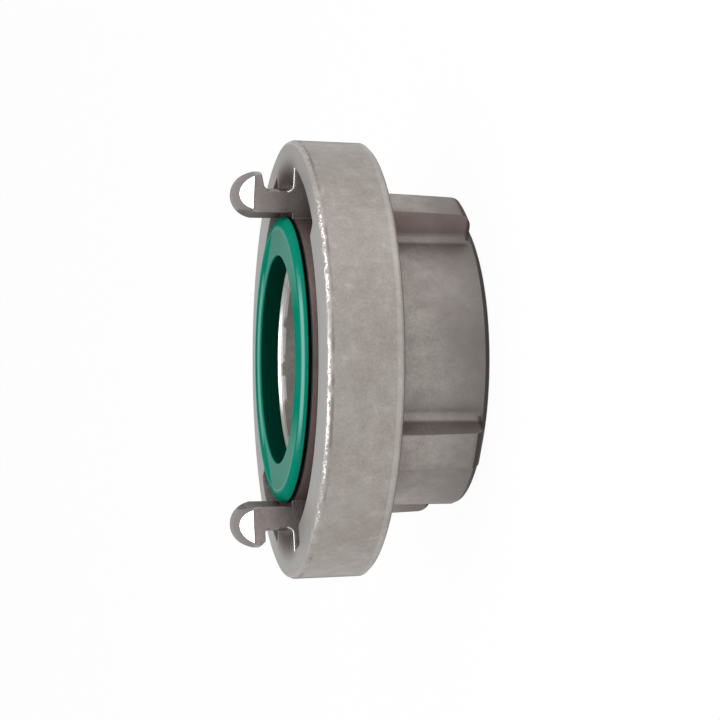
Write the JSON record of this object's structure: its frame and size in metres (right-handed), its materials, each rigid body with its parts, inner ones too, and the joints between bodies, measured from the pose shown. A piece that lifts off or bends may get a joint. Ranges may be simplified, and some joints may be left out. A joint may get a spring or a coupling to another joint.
{
  "type": "quarter turn fire hose coupling",
  "caption": "Symmetric bayonet hose coupling: hooked lugs and undercut channel on a ring, green lip seal, ribbed hub with a female pipe thread.",
  "frame": {"origin": "centre of the hub's rear face, on the waterway's axis", "axes": "+Z along the waterway, towards the lugs and the seal; +X through the middle of one lug"},
  "size_m": [0.127, 0.127, 0.0661],
  "materials": {
    "cast_stainless": "bead-blasted investment casting",
    "green_rubber": "smooth moulded rubber"
  },
  "bodies": {
    "root": {"coupling_body": "cast_stainless", "sealing_ring": "green_rubber"}
  },
  "joints": []
}
